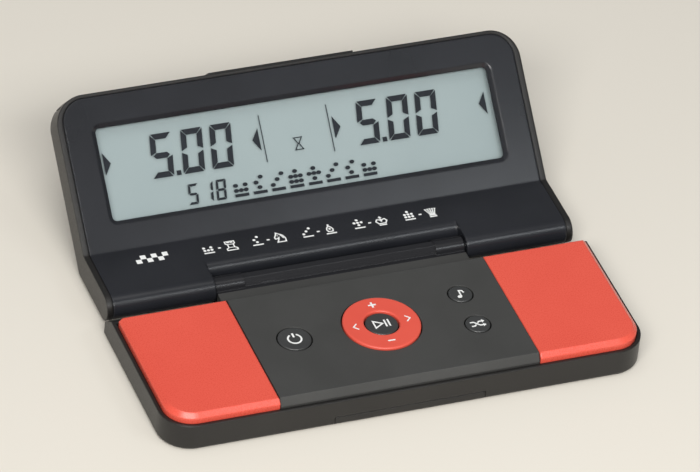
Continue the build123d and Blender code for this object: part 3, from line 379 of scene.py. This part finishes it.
# a small sand glass stands in the middle
marks.append(stroke(lcd["sandGlass"], lcd["sandGlassHalf"], True))
printPiece("lcdMarks", marks, onScreen(lcd["depth"]), "lid", materials["lcdInk"], lcd["thickness"])

glassLow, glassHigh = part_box("lcd_glass")
plate = [np.array([(x / mm, lcd["plateHigh"], x / mm, lcd["plateLow"]) for x in (glassLow.x, glassHigh.x)])]
lcdPlate = printPiece("lcdPlate", plate, onScreen(lcd["plateFront"] + lcd["plateThick"]), "lid",
                      materials["lcd"], lcd["plateThick"] * mm)
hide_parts("lcd_glass")
print("stage 3: display marks and plate")


# white prints on the shoulder panel
shoulder = dict(lift=0.01, thickness=0.00003, levels=(2.9, 1.85, 0.85), step=0.98, radius=0.40, bar=-0.22,
                barHalf=0.22, barWidth=2.9, dash=3.1, dashHalf=0.4, dashRise=1.05,
                iconShift=6.35, iconDrop=0.2, iconSize=1.05,
                places=[("rook", -32.3), ("knight", -18.85), ("bishop", -4.95), ("king", 9.4),
                        ("queen", 23.5)],
                baseY=10.4)
squares = dict(count=6, left=-52.0, size=1.5, lift=0.1, half=0.75)
chessIcons = {
    "rook": [stroke([(-1.2, 3.0), (-1.2, 2.2), (-0.75, 1.9), (-0.75, 0.7), (-1.35, 0.3), (-1.35, -0.3),
                     (1.35, -0.3), (1.35, 0.3), (0.75, 0.7), (0.75, 1.9), (1.2, 2.2), (1.2, 3.0),
                     (0.6, 3.0), (0.6, 2.6), (0.25, 2.6), (0.25, 3.0), (-0.25, 3.0), (-0.25, 2.6),
                     (-0.6, 2.6), (-0.6, 3.0)], 0.16, True),
             stroke([(-0.75, 1.9), (0.75, 1.9)], 0.1), stroke([(-0.75, 0.7), (0.75, 0.7)], 0.1)],
    "knight": [stroke([(-1.0, -0.3), (1.2, -0.3), (1.35, 0.9), (0.9, 2.1), (0.0, 2.8), (-0.45, 3.2),
                       (-0.6, 2.7), (-1.3, 1.5), (-1.2, 1.0), (-0.7, 1.0), (-0.1, 1.5), (-0.5, 0.6)],
                      0.17, True),
               disc(-0.4, 2.1, 0.16), stroke([(0.4, 2.3), (0.95, 0.9)], 0.12)],
    "bishop": [stroke([(-1.35, -0.25), (1.35, -0.25)], 0.2), stroke([(-0.8, 0.45), (0.8, 0.45)], 0.14),
               stroke([(-0.5, 0.5), (-0.85, 1.2), (-0.55, 2.0), (0, 2.6), (0.55, 2.0), (0.85, 1.2),
                       (0.5, 0.5)], 0.16),
               stroke([(0, 1.0), (0, 1.9)], 0.12), stroke([(-0.35, 1.5), (0.35, 1.5)], 0.12),
               disc(0, 2.95, 0.28)],
    "king": [stroke([(-1.0, -0.3), (1.0, -0.3)], 0.2),
             stroke([(-0.9, 0.25), (-1.45, 1.2), (-1.0, 1.9), (-0.3, 1.7), (0, 1.1), (0.3, 1.7), (1.0, 1.9),
                     (1.45, 1.2), (0.9, 0.25)], 0.17, True),
             stroke([(0, 1.6), (0, 3.0)], 0.15), stroke([(-0.45, 2.5), (0.45, 2.5)], 0.14)],
    "queen": [stroke([(-0.95, -0.3), (0.95, -0.3)], 0.2), stroke([(-0.9, 0.25), (0.9, 0.25)], 0.15)]
    + [stroke([(0.55 * k * 0.45, 0.3), (0.62 * k, 2.5)], 0.15) for k in (-2, -1, 0, 1, 2)]
    + [disc(0.64 * k, 2.7 - 0.06 * abs(k), 0.24) for k in (-2, -1, 0, 1, 2)],
}
prints = []
for sign, x in shoulder["places"]:
    spots = spotSign(sign, 0, shoulder["levels"], shoulder["step"], shoulder["radius"], 1.0,
                     shoulder["bar"], shoulder["barHalf"], shoulder["barWidth"])
    prints += moved(spots, x, shoulder["baseY"])
    dash = stroke([(-shoulder["dashHalf"], 0), (shoulder["dashHalf"], 0)], shoulder["barHalf"])
    prints += moved([dash], x + shoulder["dash"], shoulder["baseY"] + shoulder["dashRise"])
    prints += moved(chessIcons[sign], x + shoulder["iconShift"], shoulder["baseY"] - shoulder["iconDrop"],
                    shoulder["iconSize"])
# a plain row of board squares at the left end
for column in range(squares["count"]):
    x = squares["left"] + squares["size"] * column
    y = shoulder["baseY"] + squares["lift"] + squares["size"] * (column % 2) + squares["half"]
    prints.append(stroke([(x, y), (x + squares["size"], y)], squares["half"]))
printPiece("shoulderPrint", prints, onLevel(panelZ + shoulder["lift"] * mm), "lid", materials["whitePrint"],
           shoulder["thickness"])


# icons on the keys
def topOf(node):
    low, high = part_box(node)
    return high.z, ((low.x + high.x) / 2, (low.y + high.y) / 2)


icon = dict(lift=0.00001, thickness=0.00003)


def keyIcon(name, strips, node, body):
    height, centre = topOf(node)
    return printPiece(name, strips, onLevel(height + icon["lift"], centre), body, materials["whitePrint"],
                      icon["thickness"])


keyIcon("powerIcon", [stroke(arc(0, -0.1, 1.75, 118, 422), 0.23), stroke([(0, 0.5), (0, 2.1)], 0.25)],
        "power_key", "power_button")
keyIcon("noteIcon", [disc(-0.55, -1.1, 0.62, 0.8), stroke([(-0.1, -1.1), (-0.1, 1.3)], 0.2),
                     stroke([(-0.3, 1.25), (0.75, 1.0), (0.95, 0.2)], 0.22)], "sound_key", "sound_button")
keyIcon("shuffleIcon",
        [stroke([(-1.9, 0.75), (-1.0, 0.75), (0.5, -0.75), (1.3, -0.75)], 0.2),
         stroke([(-1.9, -0.75), (-1.0, -0.75), (-0.55, -0.3)], 0.2),
         stroke([(0.05, 0.3), (0.5, 0.75), (1.3, 0.75)], 0.2),
         np.array([(1.3, 1.35, 1.3, 0.15), (2.1, 0.75, 2.1, 0.75)]),
         np.array([(1.3, -0.15, 1.3, -1.35), (2.1, -0.75, 2.1, -0.75)])], "shuffle_key", "shuffle_button")
keyIcon("playIcon", [stroke([(-2.0, 1.35), (-2.0, -1.35), (0.25, 0.0)], 0.2, True),
                     stroke([(1.0, -1.35), (1.0, 1.35)], 0.22), stroke([(1.95, -1.35), (1.95, 1.35)], 0.22)],
        "play_pause_key", "play_button")
ringReach = 7.2
keyIcon("ringIcons", [stroke([(-1.05, ringReach), (1.05, ringReach)], 0.25),
                      stroke([(0, ringReach - 1.05), (0, ringReach + 1.05)], 0.25),
                      stroke([(-1.0, -ringReach), (1.0, -ringReach)], 0.22),
                      stroke([(-ringReach + 0.6, 1.1), (-ringReach - 0.55, 0), (-ringReach + 0.6, -1.1)],
                             0.17),
                      stroke([(ringReach - 0.6, -1.1), (ringReach + 0.55, 0), (ringReach - 0.6, 1.1)],
                             0.17)],
        "adjust_ring", "ring")
print("stage 4: prints and key icons")


# floor, light and camera
studio = dict(floor=(0.74, 0.70, 0.625), world=(0.93, 0.96, 1.0), worldStrength=0.22,
              lensWide=356.45, azimuth=-24.68, elevation=38.82, roll=6.56, reach=1.81499,
              aimX=0.0102, aimBehindHinge=0.01678, sensorWide=36, clipNear=0.05, clipFar=20,
              floorHalf=4.0, floorGain=1.01)
lights = [
    dict(name="frontSoftbox", azimuth=-22, elevation=42, reach=1.5, size=(1.3, 0.42), power=23,
         colour=(1.0, 0.985, 0.96)),
    dict(name="topFill", azimuth=-60, elevation=82, reach=1.8, size=(1.4, 1.4), power=8,
         colour=(1.0, 0.99, 0.97)),
    dict(name="screenFill", azimuth=31, elevation=46, reach=0.45, size=(0.16, 0.05), power=0.17,
         colour=(0.92, 0.97, 1.0)),
]


def pointFrom(azimuth, elevation, reach, aim):
    a, e = radians(azimuth), radians(elevation)
    return Vector(aim) + Vector((sin(a) * cos(e), -cos(a) * cos(e), sin(e))) * reach


def aimedLight(name, azimuth, elevation, reach, size, power, colour):
    data = bpy.data.lights.new(name, "AREA")
    data.shape = "RECTANGLE"
    data.size, data.size_y = size
    data.energy = power
    data.color = colour
    lamp = bpy.data.objects.new(name, data)
    bpy.context.scene.collection.objects.link(lamp)
    spot = pointFrom(azimuth, elevation, reach, (0, 0, 0))
    lamp.location = spot
    lamp.rotation_euler = (-spot).to_track_quat("-Z", "Y").to_euler()


# the floor is a wide flat square
floorMesh = bpy.data.meshes.new("floor")
corner = np.array([(-1, -1, 0), (1, -1, 0), (1, 1, 0), (-1, 1, 0)]) * studio["floorHalf"]
floorMesh.from_pydata(corner, [], [(0, 1, 2, 3)])
floor = bpy.data.objects.new("floor", floorMesh)
bpy.context.scene.collection.objects.link(floor)
floorLook = dict(dark=studio["floor"], light=tuple(studio["floorGain"] * c for c in studio["floor"]),
                 rough=(0.7, 0.8), cloudScale=3, grainScale=800, grainDepth=0.00001, edge=0.0001)
floorMesh.materials.append(mouldedPlastic("paleFloor", floorLook))

world = bpy.data.worlds.new("studioWorld")
world.use_nodes = True
world.node_tree.nodes["Background"].inputs["Color"].default_value = (*studio["world"], 1)
world.node_tree.nodes["Background"].inputs["Strength"].default_value = studio["worldStrength"]
bpy.context.scene.world = world
for light in lights:
    aimedLight(**light)

cameraData = bpy.data.cameras.new("camera")
cameraData.sensor_width = studio["sensorWide"]
cameraData.lens = studio["lensWide"]
cameraData.clip_start, cameraData.clip_end = studio["clipNear"], studio["clipFar"]
camera = bpy.data.objects.new("camera", cameraData)
bpy.context.scene.collection.objects.link(camera)
aim = (studio["aimX"], hingeY + studio["aimBehindHinge"], 0)
spot = pointFrom(studio["azimuth"], studio["elevation"], studio["reach"], aim)
back = (spot - Vector(aim)).normalized()
right = (-back).cross(Vector((0, 0, 1))).normalized()
up = right.cross(-back)
turn = radians(studio["roll"])
across = right * cos(turn) + up * sin(turn)
upward = -right * sin(turn) + up * cos(turn)
camera.matrix_world = Matrix(((across.x, upward.x, back.x, spot.x), (across.y, upward.y, back.y, spot.y),
                              (across.z, upward.z, back.z, spot.z), (0, 0, 0, 1)))
bpy.context.scene.camera = camera
bpy.context.scene.view_settings.view_transform = "Standard"
print("stage 5: floor, light and camera")
